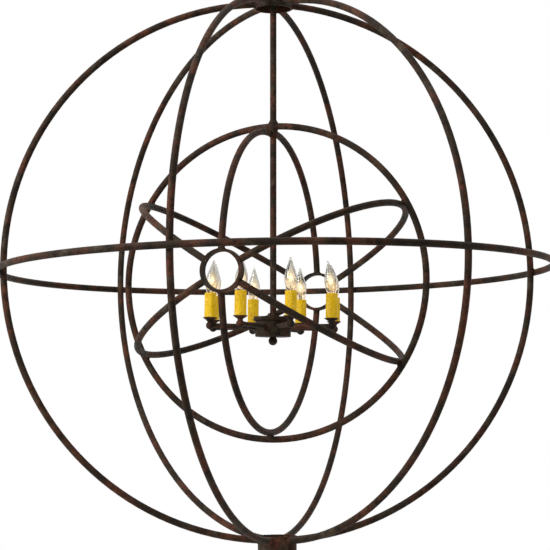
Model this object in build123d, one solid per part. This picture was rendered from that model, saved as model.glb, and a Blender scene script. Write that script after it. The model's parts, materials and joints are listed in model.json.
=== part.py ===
"""Chandelier: eight candle lights inside two nested hoop orbs, hung from one stem by an eye loop."""
from build123d import *
import math
import os

os.makedirs("parts", exist_ok=True)

# Driving dimensions, in millimetres and degrees.

# Outer orb: six half ribs between two pipe hubs, girdled by one level hoop.
orb_across = 1376.4          # outside of the level hoop
hoop_tube = 16.4
hoop_wall = 1.5
hub_across = 95.0
hub_wall = 4.0
hub_length = 45.0
hub_lip = 11.5               # how far a hub's inner rim lies inside the ribs' centre line
hub_plate_thick = 4.0
outer_rib_turns = (-1.2, 57.7, 120.1, 179.6, 238.5, 299.7)   # from -Y towards +X, as welded
equator_drop = 3.1           # level hoop, below the centre of the orb
equator_rise_front = 0.4     # level hoop, a little out of true
equator_rise_right = 0.5
foot_right = 0.40            # foot of the orb, out of plumb under the stem
foot_rear = 0.13

# Inner orb: the same hoop frame laid on its side, hung a little low.
inner_across = 790.6         # outside of its upright hoop
inner_drop = 31.0            # its centre, below the centre of the outer orb
pole_ring_across = 101.0
pole_ring_wall = 7.0
pole_ring_length = 20.0
top_rib_turns = (-1.3, 0.3)  # front and rear half of the top rib, from plumb, as welded
inner_rib_turns = (60.9, 122.4, 181.0, 241.6, 301.9)   # the others, from the top towards +X

# Stem, and what is threaded or clamped on it.
stem_across = 16.0
stem_bore = 10.0
nut_across_flats = 24.0
nut_thick = 7.0
washer_across = 32.0
washer_thick = 2.0
collar_across = 22.0
collar_margin = 2.0          # collar above the hoop that it carries
set_screw_across = 5.0
set_screw_proud = 3.0
set_screw_key = 2.5          # across the flats of its hex socket
set_screw_key_depth = 3.0

# Hanging loop.
eye_across = 30.0            # clear hole
eye_bar = 10.0
eye_width = 12.0
eye_round = 3.0
loop_boss_across = 28.0
loop_boss_height = 26.0
loop_thread = 15.0           # stem screwed into the boss
loop_sink = 8.0              # eye ring sunk into the boss
loop_wireway = 8.0

# Candle pan, which hangs a little out of level with all its lights.
pan_drop = 118.0             # top of the pan, below the centre of the outer orb
pan_fall_right = 0.5
pan_fall_rear = 0.7
pan_thick = 3.0
pan_skirt = 9.0
skirt_gap = 1.5              # between the cap's skirt and the drum
drum_across = 88.0
drum_wall = 3.0
drum_height = 42.5
cover_thick = 3.0
cover_round = 1.5
crossbar_width = 16.0
crossbar_thick = 3.0
block_across = 34.0
block_height = 14.0
stud_across = 8.0
finial_across = 22.0
finial_neck_across = 15.0
finial_neck_height = 1.0
finial_bore_depth = 12.0
finial_sink = 2.0            # ball sunk into its neck

# Candle arms.
light_circle = 322.0         # across the circle of candle axes
light_turns = (-10.6, 33.4, 79.8, 128.0, 172.8, 217.2, 267.0, 306.0)   # from -Y towards +X, as welded
arm_tube = 12.0
arm_wall = 1.75
arm_drop = 25.0              # arm axis, below the top of the pan
arm_into_drum = 3.0          # arm end past the drum's inner wall
arm_into_ball = 6.0
ball_across = 20.0
waist_across = 12.6
cup_across = 25.0
cup_height = 16.0            # cup's top face, above the arm axis
cup_lip = 1.5
nipple_across = 9.6
nipple_bore = 6.0
nipple_into_cup = 9.0
nipple_into_socket = 8.0
dish_across = 34.0
dish_thick = 2.0
dish_rim = 1.5

# Candle sleeve, socket and lamp.
sleeve_across = 29.0
sleeve_bore = 23.4
sleeve_height = 61.0
sleeve_round = 1.2
socket_across = 20.0
socket_height = 47.0
socket_bore_depth = 20.0
lamp_base_across = 11.7
lamp_base_length = 16.5
lamp_contact_across = 5.0
lamp_contact_length = 1.6
lamp_seal_across = 12.6
lamp_seal_length = 2.0
glass_across = 30.0
glass_height = 93.0
glass_wall = 0.9
glass_tip_wall = 3.0
shoulder_width = 0.74        # flame outline, as shares of its widest radius and its height
shoulder_height = 0.17
belly_height = 0.42
draw_width = 0.55
draw_height = 0.74
tip_width = 0.17
tip_height = 0.93

# Wiring.
feed_lead_across = 2.4
feed_lead_spacing = 3.4
arm_lead_across = 2.6
arm_lead_bend = 5.0

# Clearances.
weld_gap = 0.2               # between tubes and walls that are welded together
fit_gap = 0.1                # round a part that is screwed or pressed into another
running_gap = 0.08           # round a part that turns in another
face_gap = 0.2               # between the flat faces of parts that turn on each other
lamp_gap = 0.3               # round a lamp base in its socket

# Derived sizes. Heights are from the centre of the outer orb until the parts are saved.
hoop_r = hoop_tube / 2
equator_r = orb_across / 2 - hoop_r
rib_r = equator_r - hoop_tube - weld_gap
hub_r = hub_across / 2
hub_rim_z = rib_r - hub_lip
hub_end_z = hub_rim_z + hub_length
orb_place = Pos(0, 0, rib_r) * Rot(foot_rear, -foot_right, 0) * Pos(0, 0, -rib_r)
stem_r = stem_across / 2
washer_r = washer_across / 2

inner_equator_r = inner_across / 2 - hoop_r
inner_rib_r = inner_equator_r - hoop_tube - weld_gap
inner_top_z = inner_equator_r - inner_drop
inner_place = Pos(0, 0, -inner_drop)
pole_ring_r = pole_ring_across / 2
pole_ring_y = math.sqrt(inner_rib_r**2 - pole_ring_r**2)

collar_r = collar_across / 2
collar_top_z = inner_top_z + hoop_r + collar_margin
collar_base_z = inner_top_z - hoop_tube - weld_gap - hoop_r

loop_base_z = hub_end_z + washer_thick + nut_thick
stem_top_z = loop_base_z + loop_thread
eye_r = eye_across / 2
eye_z = loop_base_z + loop_boss_height - loop_sink + eye_bar + eye_r

pan_top_z = -pan_drop
pan_place = Pos(0, 0, pan_top_z) * Rot(-pan_fall_rear, pan_fall_right, 0) * Pos(0, 0, -pan_top_z)
pan_fall = math.radians(math.hypot(pan_fall_right, pan_fall_rear))
pan_play = face_gap + washer_r * math.tan(pan_fall)
pan_hole_r = stem_r + running_gap + pan_thick * math.sin(pan_fall)
drum_top_z = pan_top_z - pan_thick
drum_base_z = drum_top_z - drum_height
cover_base_z = drum_base_z - cover_thick
drum_r = drum_across / 2
drum_inner_r = drum_r - drum_wall
pan_inner_r = drum_r + skirt_gap
pan_nut_height = washer_thick + nut_thick
pan_upper_nut_z = pan_top_z + pan_play
pan_lower_nut_z = drum_top_z - pan_play
stem_base_z = pan_lower_nut_z - pan_nut_height

arm_z = pan_top_z - arm_drop
light_r = light_circle / 2
cup_top_z = arm_z + cup_height
dish_top_z = cup_top_z + dish_thick
sleeve_top_z = dish_top_z + sleeve_height
socket_top_z = dish_top_z + socket_height
socket_bore_r = lamp_base_across / 2 + lamp_gap
lamp_seat_z = socket_top_z + lamp_gap
nipple_base_z = cup_top_z - nipple_into_cup
nipple_top_z = dish_top_z + nipple_into_socket
block_base_z = arm_z - block_height / 2
crossbar_base_z = block_base_z - crossbar_thick
finial_top_z = cover_base_z - face_gap
finial_ball_z = finial_top_z - finial_neck_height - finial_across / 2 + finial_sink
stud_base_z = finial_top_z - finial_bore_depth + face_gap
FAR = 4 * orb_across         # longer than anything that is cut


def save(name, *solids):
    """Write one node, moved so that the origin is the centre of the hanging eye."""
    placed = [Pos(0, 0, -eye_z) * solid for solid in solids]
    shape = placed[0] if len(placed) == 1 else Compound(children=placed)
    export_step(shape, "parts/" + name + ".step")


def rod(radius, low, high):
    """Upright round rod on the axis between two heights."""
    return Pos(0, 0, (low + high) / 2) * Cylinder(radius, high - low)


def pipe(outer, inner, low, high):
    """Upright round tube on the axis between two heights."""
    return rod(outer, low, high) - rod(inner, low, high)


def tube_section():
    """Cross-section of the hoop tubing."""
    return Circle(hoop_r) - Circle(hoop_r - hoop_wall)


def hex_nut(flats, hole, low, high):
    """Hexagon nut on the axis between two heights."""
    outline = RegularPolygon(flats / 2, 6, major_radius=False)
    return Pos(0, 0, low) * extrude(outline, high - low) - rod(hole, low, high)


def around_lights(shape):
    """Copies of a shape that points along -Y, one for each light, out of level with the pan."""
    return [pan_place * Rot(0, 0, turn) * shape for turn in light_turns]


def at_light(shape):
    """Copies of a shape on the axis, moved to each candle."""
    return around_lights(Pos(0, -light_r, 0) * shape)


def revolved(points):
    """Solid of revolution from an outline in radius and height."""
    face = make_face(Polyline(*[(r, 0, z) for r, z in points], close=True))
    return revolve(face, Axis.Z)


# Outer orb

def outer_rib(turn):
    """Half rib from the top hub to the bottom hub, coped to the hubs' walls."""
    start = Plane(origin=(0, 0, rib_r), x_dir=(1, 0, 0), z_dir=(0, -1, 0))
    half = revolve(start * tube_section(), Axis.X, 180)
    room = Cylinder(hub_r + weld_gap, FAR)
    placed = orb_place * Rot(0, 0, turn) * (half - Pos(0, 0, -FAR / 2) * room)
    return placed - Pos(0, 0, FAR / 2) * room


def outer_equator():
    """Level hoop outside the ribs."""
    hoop = revolve(Plane.XZ * Pos(equator_r, 0) * tube_section(), Axis.Z, 360)
    return orb_place * Pos(0, 0, -equator_drop) * Rot(-equator_rise_front, -equator_rise_right, 0) * hoop


def hub_ring(low, high):
    """Short length of pipe that the ribs are welded to."""
    return pipe(hub_r, hub_r - hub_wall, low, high)


plate_r = hub_r - hub_wall - weld_gap
stem_hole_r = stem_r + fit_gap

for rib_index, rib_turn in enumerate(outer_rib_turns):
    save("outer_rib_%d" % (rib_index + 1), outer_rib(rib_turn))
save("outer_equator", outer_equator())
save("top_hub_ring", hub_ring(hub_rim_z, hub_end_z))
save("top_hub_plate", pipe(plate_r, stem_hole_r, hub_end_z - hub_plate_thick, hub_end_z))
save("bottom_hub_ring", orb_place * hub_ring(-hub_end_z, -hub_rim_z))
save("bottom_hub_plate", orb_place * rod(plate_r, -hub_end_z, -hub_end_z + hub_plate_thick))

# Stem and hanging loop


def hang_loop():
    """Cast loop: threaded boss, round eye and a wireway from the stem into the eye."""
    boss = rod(loop_boss_across / 2, loop_base_z, loop_base_z + loop_boss_height)
    ring = Rot(90, 0, 0) * Cylinder(eye_r + eye_bar, eye_width)
    ring = fillet(ring.edges().filter_by(GeomType.CIRCLE), eye_round)
    loop = boss + Pos(0, 0, eye_z) * ring
    loop -= Pos(0, 0, eye_z) * Rot(90, 0, 0) * Cylinder(eye_r, FAR)
    loop -= rod(stem_hole_r, loop_base_z, stem_top_z)
    return loop - rod(loop_wireway / 2, stem_top_z, eye_z)


under_plate_z = hub_end_z - hub_plate_thick
under_washer_z = under_plate_z - washer_thick

save("hang_loop", hang_loop())
save("stem", pipe(stem_r, stem_bore / 2, stem_base_z, stem_top_z))
save(
    "hub_washers",
    pipe(washer_r, stem_hole_r, hub_end_z, hub_end_z + washer_thick),
    pipe(washer_r, stem_hole_r, under_washer_z, under_plate_z),
)
save(
    "hub_nuts",
    hex_nut(nut_across_flats, stem_hole_r, hub_end_z + washer_thick, loop_base_z),
    hex_nut(nut_across_flats, stem_hole_r, under_washer_z - nut_thick, under_washer_z),
)


def pan_nut(flange_low, hex_low):
    """Flanged nut on the stem, with its flange against the pan."""
    flange = pipe(washer_r, stem_hole_r, flange_low, flange_low + washer_thick)
    return flange + hex_nut(nut_across_flats, stem_hole_r, hex_low, hex_low + nut_thick)


save(
    "pan_nuts",
    pan_nut(pan_upper_nut_z, pan_upper_nut_z + washer_thick),
    pan_nut(pan_lower_nut_z - washer_thick, pan_lower_nut_z - pan_nut_height),
)

# Inner orb


def inner_rib(turn, sweep_angle=180, facing=0):
    """Rib from a pole ring over the top, by as much as it sweeps, turned about the level axis."""
    start = Plane(origin=(0, -inner_rib_r, 0), x_dir=(1, 0, 0), z_dir=(0, 0, 1))
    rib = revolve(start * tube_section(), Axis((0, 0, 0), (-1, 0, 0)), sweep_angle)
    coped = rib - Rot(90, 0, 0) * Cylinder(pole_ring_r + weld_gap, FAR)
    return inner_place * Rot(0, turn, 0) * Rot(0, 0, facing) * coped


def pole_ring(y):
    """Open pipe ring that six inner ribs are welded to."""
    ring = Cylinder(pole_ring_r, pole_ring_length)
    ring -= Cylinder(pole_ring_r - pole_ring_wall, pole_ring_length)
    return inner_place * Pos(0, y, 0) * Rot(90, 0, 0) * ring


collar_room = Cylinder(collar_r + weld_gap, FAR)
set_screw_r = set_screw_across / 2
set_screw_start = stem_r + running_gap + fit_gap
set_screw_length = collar_r + set_screw_proud - set_screw_start


def inner_collar():
    """Sleeve that turns on the stem and carries the inner orb, tapped for its set screw."""
    sleeve = pipe(collar_r, stem_r + running_gap, collar_base_z, collar_top_z)
    tapped = Cylinder(set_screw_r + fit_gap, collar_across, align=(Align.CENTER, Align.CENTER, Align.MIN))
    return sleeve - Pos(0, 0, inner_top_z) * Rot(-90, 0, 0) * tapped


def set_screw():
    """Headless screw with a hex socket, at the back of the collar."""
    body = extrude(Circle(set_screw_r), set_screw_length)
    socket = RegularPolygon(set_screw_key / 2, 6, major_radius=False)
    body -= Pos(0, 0, set_screw_length - set_screw_key_depth) * extrude(socket, set_screw_key_depth)
    return Pos(0, set_screw_start, inner_top_z) * Rot(-90, 0, 0) * body


inner_hoop = revolve(Pos(inner_equator_r, 0) * tube_section(), Axis.Y, 360)
front_turn, rear_turn = top_rib_turns
inner_rib_names = ("upper_right", "lower_right", "bottom", "lower_left", "upper_left")

save("inner_collar", inner_collar())
save("collar_set_screw", set_screw())
save("inner_equator", inner_place * inner_hoop - Pos(0, 0, FAR / 2) * collar_room)
save("inner_rib_top_front", inner_rib(front_turn, 90) - collar_room)
save("inner_rib_top_rear", inner_rib(rear_turn, 90, 180) - collar_room)
for rib_name, rib_turn in zip(inner_rib_names, inner_rib_turns):
    save("inner_rib_" + rib_name, inner_rib(rib_turn))
save("pole_ring_front", pole_ring(-pole_ring_y))
save("pole_ring_rear", pole_ring(pole_ring_y))

# Candle pan

arm_hole = Pos(0, 0, arm_z) * Rot(90, 0, 0) * Cylinder(
    arm_tube / 2 + fit_gap, FAR, align=(Align.CENTER, Align.CENTER, Align.MIN)
)


def pan_top():
    """Shallow cap over the drum, turning on the stem."""
    skirt_z = pan_top_z - pan_skirt
    cap = pipe(pan_inner_r + pan_thick, pan_hole_r, skirt_z, pan_top_z)
    return pan_place * (cap - rod(pan_inner_r, skirt_z, drum_top_z))


def pan_drum():
    """Round wall of the wiring drum with a hole for each arm."""
    wall = pan_place * pipe(drum_r, drum_inner_r, drum_base_z, drum_top_z)
    for hole in around_lights(arm_hole):
        wall -= hole
    return wall


def pan_cover():
    """Cover under the drum, held up by the finial."""
    disc = rod(drum_r, cover_base_z, drum_base_z)
    disc = fillet(disc.edges().group_by(Axis.Z)[0], min(cover_round, 0.8 * cover_thick))
    return pan_place * (disc - rod(stud_across / 2 + running_gap, cover_base_z, drum_base_z))


def pan_crossbar():
    """Strap across the drum that carries the stud and the junction block."""
    bar = Box(2 * drum_across, crossbar_width, crossbar_thick)
    bar = Pos(0, 0, crossbar_base_z + crossbar_thick / 2) * bar
    bar &= rod(drum_inner_r - weld_gap, crossbar_base_z, block_base_z)
    return pan_place * (bar - rod(stud_across / 2 + fit_gap, crossbar_base_z, block_base_z))


def finial():
    """Turned ball with a short neck, cut flat on top and threaded on the stud."""
    ball = Pos(0, 0, finial_ball_z) * Sphere(finial_across / 2) & rod(finial_across, -FAR, finial_top_z)
    neck = rod(finial_neck_across / 2, finial_ball_z, finial_top_z)
    bore = rod(stud_across / 2 + running_gap, finial_top_z - finial_bore_depth, finial_top_z)
    return pan_place * (ball + neck - bore)


def junction_block():
    """Round block where the feed leads, which hang plumb, and the arm leads meet."""
    block = pan_place * rod(block_across / 2, block_base_z, block_base_z + block_height)
    for side in (-1, 1):
        hole = rod(feed_lead_across / 2 + fit_gap, arm_z, pan_top_z)
        block -= Pos(side * feed_lead_spacing / 2, 0, 0) * hole
    return block


def feed_lead(side):
    """One conductor down the stem into the junction block."""
    return Pos(side * feed_lead_spacing / 2, 0, 0) * rod(feed_lead_across / 2, arm_z, stem_top_z)


save("pan_top", pan_top())
save("pan_drum", pan_drum())
save("pan_cover", pan_cover())
save("pan_crossbar", pan_crossbar())
save("junction_block", junction_block())
save("finial_stud", pan_place * rod(stud_across / 2, stud_base_z, block_base_z))
save("finial", finial())
save("feed_leads", feed_lead(-1), feed_lead(1))

# Candle arms and cups


def arm():
    """Straight tube from inside the drum to the ball under a candle."""
    inner_end = drum_inner_r - arm_into_drum
    outer_end = light_r - ball_across / 2 + arm_into_ball
    ring = Circle(arm_tube / 2) - Circle(arm_tube / 2 - arm_wall)
    return Pos(0, -inner_end, arm_z) * Rot(90, 0, 0) * extrude(ring, outer_end - inner_end)


def candle_cup():
    """Turned ball and waisted cup, bored for the arm, the nipple and the lead."""
    ball_r = ball_across / 2
    waist_r = waist_across / 2
    cup_r = cup_across / 2
    waist_z = arm_z + math.sqrt(ball_r**2 - waist_r**2)
    lip_z = cup_top_z - cup_lip
    flare = JernArc((waist_r, waist_z), (0, 1), cup_r - waist_r, -90)
    flare_end = flare @ 1
    outline = [
        Line((0, arm_z), (waist_r, arm_z)),
        Line((waist_r, arm_z), (waist_r, waist_z)),
    ]
    if flare_end.Y < lip_z:
        outline.append(flare)
        outline.append(Line(flare_end, (cup_r, lip_z)))
    else:
        outline.append(Line((waist_r, waist_z), (cup_r, lip_z)))
    outline.append(Line((cup_r, lip_z), (cup_r, cup_top_z)))
    outline.append(Line((cup_r, cup_top_z), (0, cup_top_z)))
    outline.append(Line((0, cup_top_z), (0, arm_z)))
    neck = revolve(Plane.XZ * make_face(outline), Axis.Z)
    cup = neck + Pos(0, 0, arm_z) * Sphere(ball_r)
    cup -= rod(nipple_across / 2 + fit_gap, nipple_base_z, cup_top_z)
    cup -= rod(nipple_bore / 2, arm_z, nipple_base_z)
    socket_y = ball_r - arm_into_ball
    cup -= Pos(0, socket_y, 0) * Rot(0, 0, 180) * arm_hole
    lead_hole = extrude(Circle(arm_tube / 2 - arm_wall), socket_y)
    return cup - Pos(0, 0, arm_z) * Rot(-90, 0, 0) * lead_hole


def drip_dish():
    """Thin dish with a turned-up rim under the candle sleeve."""
    dish_r = dish_across / 2
    hole_r = nipple_across / 2 + fit_gap
    return revolved([
        (hole_r, cup_top_z),
        (dish_r - dish_rim, cup_top_z),
        (dish_r, cup_top_z + dish_rim),
        (dish_r, dish_top_z + dish_rim),
        (dish_r - dish_rim, dish_top_z),
        (hole_r, dish_top_z),
    ])


def candle_sleeve():
    """Cast candle sleeve over the socket, open at the top."""
    sleeve = pipe(sleeve_across / 2, sleeve_bore / 2, dish_top_z, sleeve_top_z)
    wall = (sleeve_across - sleeve_bore) / 2
    return fillet(sleeve.edges().group_by(Axis.Z)[-1], min(sleeve_round, wall / 3))


def lamp_socket():
    """Candelabra socket on the nipple, bored for the lamp base."""
    body = rod(socket_across / 2, dish_top_z, socket_top_z)
    body -= rod(nipple_across / 2 + fit_gap, dish_top_z, nipple_top_z)
    return body - rod(socket_bore_r, socket_top_z - socket_bore_depth, socket_top_z)


def arm_lead():
    """Lead from the junction block along the arm and up the nipple to the socket."""
    route = FilletPolyline(
        (0, -block_across / 2, arm_z),
        (0, -light_r, arm_z),
        (0, -light_r, nipple_top_z),
        radius=arm_lead_bend,
    )
    start = Plane(origin=route @ 0, z_dir=route % 0)
    return sweep(start * Circle(arm_lead_across / 2), route)


save("arms", *around_lights(arm()))
save("candle_cups", *at_light(candle_cup()))
save("drip_dishes", *at_light(drip_dish()))
save("socket_nipples", *at_light(pipe(nipple_across / 2, nipple_bore / 2, nipple_base_z, nipple_top_z)))
save("lamp_sockets", *at_light(lamp_socket()))
save("candle_sleeves", *at_light(candle_sleeve()))
save("arm_leads", *around_lights(arm_lead()))

# Lamps


def lamp_base():
    """Screw base with its centre contact and the crimped seal under the glass."""
    shell = rod(lamp_base_across / 2, lamp_seat_z - lamp_base_length, lamp_seat_z)
    seal = rod(lamp_seal_across / 2, lamp_seat_z, lamp_seat_z + lamp_seal_length)
    contact_top = lamp_seat_z - lamp_base_length
    return shell + seal + rod(lamp_contact_across / 2, contact_top - lamp_contact_length, contact_top)


def flame(widest, neck, low, high):
    """Flame-shaped solid: narrow neck, full belly, drawn-out tip."""
    height = high - low
    belly = Spline(
        (neck, low),
        (shoulder_width * widest, low + shoulder_height * height),
        (widest, low + belly_height * height),
        (draw_width * widest, low + draw_height * height),
        (tip_width * widest, low + tip_height * height),
        (0, high),
    )
    outline = [belly, Line((0, high), (0, low)), Line((0, low), (neck, low))]
    return revolve(Plane.XZ * make_face(outline), Axis.Z)


def lamp_glass():
    """Hollow flame-shaped lamp glass, standing on the seal."""
    low = lamp_seat_z + lamp_seal_length
    glass_r = glass_across / 2
    neck_r = lamp_seal_across / 2
    outside = flame(glass_r, neck_r, low, low + glass_height)
    inside = flame(glass_r - glass_wall, neck_r - glass_wall, low, low + glass_height - glass_tip_wall)
    return outside - inside


for lamp_index, lamp in enumerate(at_light(lamp_glass())):
    save("lamp_glass_%d" % (lamp_index + 1), lamp)
for lamp_index, lamp in enumerate(at_light(lamp_base())):
    save("lamp_base_%d" % (lamp_index + 1), lamp)
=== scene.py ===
"""Looks of the orb chandelier: rusted iron hoops, cast amber candles and lit flame lamps."""
import json
import math

import bmesh
import bpy
from bpy.props import FloatProperty, FloatVectorProperty, IntProperty, PointerProperty
from mathutils import Matrix, Vector, noise


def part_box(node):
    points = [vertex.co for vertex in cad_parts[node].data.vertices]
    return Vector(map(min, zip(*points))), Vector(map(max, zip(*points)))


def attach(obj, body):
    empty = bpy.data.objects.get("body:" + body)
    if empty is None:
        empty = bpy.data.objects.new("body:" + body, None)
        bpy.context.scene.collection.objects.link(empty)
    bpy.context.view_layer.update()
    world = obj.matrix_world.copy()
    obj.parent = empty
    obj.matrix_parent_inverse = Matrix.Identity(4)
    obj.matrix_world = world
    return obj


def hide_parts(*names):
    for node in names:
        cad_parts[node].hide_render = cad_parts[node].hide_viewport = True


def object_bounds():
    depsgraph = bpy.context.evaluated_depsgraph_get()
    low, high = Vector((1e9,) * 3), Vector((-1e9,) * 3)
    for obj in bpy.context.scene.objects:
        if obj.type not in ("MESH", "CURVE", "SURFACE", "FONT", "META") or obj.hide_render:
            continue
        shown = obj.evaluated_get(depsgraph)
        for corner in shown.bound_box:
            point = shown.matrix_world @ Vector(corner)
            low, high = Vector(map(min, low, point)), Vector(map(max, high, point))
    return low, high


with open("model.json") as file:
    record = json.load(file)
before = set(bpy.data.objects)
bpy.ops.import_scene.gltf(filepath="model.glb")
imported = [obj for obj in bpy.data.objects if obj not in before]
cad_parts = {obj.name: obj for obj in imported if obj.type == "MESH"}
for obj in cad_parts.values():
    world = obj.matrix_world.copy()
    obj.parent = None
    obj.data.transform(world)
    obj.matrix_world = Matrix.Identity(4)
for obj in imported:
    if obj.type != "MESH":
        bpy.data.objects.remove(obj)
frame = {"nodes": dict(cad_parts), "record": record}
CAD_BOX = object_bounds()

bl_info = {
    "name": "Orb chandelier",
    "version": (1, 0, 0),
    "blender": (4, 5, 0),
    "location": "View3D > Sidebar > Chandelier",
    "description": "Rusted iron, resin candles, lit flame lamps and a white studio for the orb chandelier",
    "category": "Object",
}

FULL_TURN = 2 * math.pi
SAME_POINT = 1e-6    # points nearer than this are merged
RIM_BAND = 1e-4      # points this near the top of a lamp's base are its rim

OUTER_RIBS = sorted(name for name in frame["nodes"] if name.startswith("outer_rib_"))
INNER_RIBS = sorted(
    name for name in frame["nodes"] if name.startswith("inner_rib_") and "top" not in name
)
LAMPS = sum(name.startswith("lamp_base_") for name in frame["nodes"])
LIGHT_AXIS = next(
    Vector(joint["axis"])
    for joint in frame["record"]["behaviour"]["joints"]
    if joint["name"] == "lamp_1_lift"
)

# Fineness of the meshes
BEAD_SIDES = 8
RING_STEPS = 44
PAD_DIVISIONS = 4
NUGGET_STEPS = 64
SLEEVE_STEPS = 56
SLEEVE_CUTS = 22
DISH_STEPS = 78
FLAME_STEPS = 24
FLAME_SMOOTHING = 2
MOUNT_STEPS = 16
WIRE_SIDES = 8
COIL_SIDES = 6
COIL_STEPS = 98
SHELL_SEGMENTS = 18
SHELL_RINGS = 12
FLOOR_SEGMENTS = 128

# First seeds of the welds that don't start at 0
INNER_PAD_SEED = 10
COLLAR_SEED = 20

# Weld on the collar: distance from its bore and height, in tube widths
NUGGET_OUTLINE = (
    (0.00, 0.98), (0.03, 0.86), (0.08, 0.74), (0.16, 0.64), (0.19, 0.50), (0.19, 0.10),
    (0.18, -0.70), (0.18, -1.40), (0.14, -1.53), (0.06, -1.60), (0.00, -1.62),
)

# Turned-up rim of a dish, as a share of its width
DISH_TURN_UP = 0.12

# Glass of a lamp: radius as a share of its widest, height as a share of its tallest
FLAME_OUTLINE = (
    (0.0, 0.0), (0.378, 0.0), (0.42, 0.015), (0.60, 0.08), (0.79, 0.18), (0.96, 0.31), (1.05, 0.44),
    (0.97, 0.56), (0.74, 0.68), (0.50, 0.79), (0.30, 0.88), (0.16, 0.955), (0.09, 0.99), (0.0, 1.0),
)
PAINTED_GLOW_TO = 0.3        # height to which the glass has painted warm light, and from which it is clear
CLEAR_FROM = 0.62
LEAN_EASE = 0.3      # how much a leaning glass straightens towards its tip
TIP_DRAWS = (0.0, 0.0, 0.007, 0.003, 0.0, 0.001, 0.0, 0.002)   # tips drawn out further, lamp by lamp

# Inside of a lamp: glass stem by radius in metres and share of the glass height, wires and coil in metres
MOUNT_OUTLINE = (
    (0.0, 0.02), (0.0047, 0.02), (0.0042, 0.05), (0.0026, 0.12),
    (0.0019, 0.19), (0.0019, 0.24), (0.0009, 0.265), (0.0, 0.27),
)
MOUNT_TURN = 2.4     # radians from one lamp's mount to the next one's
PINCH = 0.24         # where the wires leave the stem, as a share of the glass height
WIRE_R = 0.00035
WIRE_FOOT = 0.0011   # foot and head of each wire, from the axis
WIRE_HEAD = 0.0050
FILAMENT_R = 0.0003
COIL_R = 0.0010
COIL_TURNS = 7

# Shells of light: width of the first as a share of the glass, its height, where the core starts, taper
GLOW_FILL = 0.86
GLOW_REACH = 0.29
CORE_FROM = 0.5
GLOW_TAPER = 0.25

# Softboxes: name, side in metres, turn from the front and rise in degrees, metres from the middle
SOFTBOXES = (
    ("key_softbox", 1.6, -40, 24, 3.4),
    ("fill_softbox", 1.8, 62, 8, 3.4),
    ("top_softbox", 2.0, 20, 84, 2.6),
)
SENSOR_WIDTH = 36.0
FAR_CLIP = 100.0


def linear(*bytes_rgb):
    """A colour picked on screen, as the linear values that shaders use."""
    shares = [value / 255 for value in bytes_rgb]
    return tuple(s / 12.92 if s <= 0.04045 else ((s + 0.055) / 1.055) ** 2.4 for s in shares)


def length(name, description, default):
    return FloatProperty(name=name, description=description, default=default, unit="LENGTH", precision=4)


def angle(name, description, degrees):
    return FloatProperty(
        name=name, description=description, default=math.radians(degrees), unit="ROTATION", subtype="ANGLE"
    )


def colour(name, description, *bytes_rgb):
    return FloatVectorProperty(
        name=name, description=description, default=linear(*bytes_rgb), size=3, subtype="COLOR", min=0, max=1
    )


def number(name, description, default):
    return FloatProperty(name=name, description=description, default=default)


def count(name, description, default):
    return IntProperty(name=name, description=description, default=default, min=1)


class IronSettings(bpy.types.PropertyGroup):
    """Rusted finish of the hoops, hubs, pan and arms."""

    dark: colour("Dark coat", "Brown-black coat under everything", 51, 42, 34)
    rust: colour("Rust", "Reddish patches", 101, 61, 45)
    grey: colour("Worn grey", "Rubbed, dusty patches", 89, 80, 66)
    black: colour("Soot", "Blackest patches", 25, 21, 19)
    soot_share: number("Soot share", "How black the sooty patches are", 0.7)
    patch_scale: number("Patch scale", "Rust patches to a metre", 13.0)
    fleck_scale: number("Fleck scale", "Small flecks to a metre", 95.0)
    roughness: number("Roughness", "Mean roughness of the coat", 0.55)
    shine: number("Shine", "Specular level of the coat", 0.06)
    grain_scale: number("Grain scale", "Grains to a metre", 420.0)
    grain_depth: length("Grain depth", "Depth of the coat's gritty grain", 0.0006)


class WeldSettings(bpy.types.PropertyGroup):
    """Weld beads where tubes meet hubs, collars and each other."""

    tube: length("Tube", "Outside of the hoop tubing", 0.0164)
    weld_gap: length("Gap", "Room left between welded tubes", 0.0002)
    stem_room: length("Stem room", "Room left between the collar's weld and the stem", 0.0006)
    bead: length("Bead", "Thickness of a bead round a tube", 0.0036)
    pad: length("Pad", "Spread of the weld between two crossing tubes", 0.0165)
    pad_thick: length("Pad thickness", "Thickness of that weld", 0.0075)
    ripples: count("Ripples", "Ripples round a bead", 11)
    lumps: number("Lumps", "Unevenness of the welds, as a share of their size", 0.22)


class CandleSettings(bpy.types.PropertyGroup):
    """Cast resin sleeves and the dishes under them."""

    sleeve_across: length("Sleeve", "Outside of a sleeve", 0.0287)
    sleeve_bore: length("Bore", "Inside of a sleeve", 0.0234)
    sleeve_round: length("Rim round", "Rounding of the sleeve's top", 0.0014)
    relief: length("Relief", "Depth of the cast drips", 0.0009)
    amber: colour("Amber", "Main colour of the resin", 209, 170, 22)
    honey: colour("Honey", "Deeper streaks", 188, 139, 8)
    straw: colour("Straw", "Paler streaks", 222, 192, 88)
    fleck: colour("Fleck", "Brown flecks in the casting", 142, 96, 28)
    # Painted glow: the resin emits light though it is no lamp, this much at a sleeve's foot and at its rim.
    painted_glow_foot: number("Lit foot", "Light in the resin at a sleeve's foot", 0.45)
    painted_glow_rim: number("Lit rim", "Light in the resin at a sleeve's rim", 0.47)
    shine: number("Shine", "Specular level of the resin", 0.15)
    grain_depth: length("Grain depth", "Depth of the resin's grain", 0.0007)
    dish_across: length("Dish", "Outside of a dish", 0.0345)
    dish_plate: length("Dish plate", "Thickness of a dish", 0.0018)
    dish_hole: length("Dish hole", "Hole of a dish", 0.0098)
    crimps: count("Crimps", "Crimps round a dish's rim", 13)
    crimp_depth: length("Crimp depth", "Depth of the crimps", 0.0009)


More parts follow.
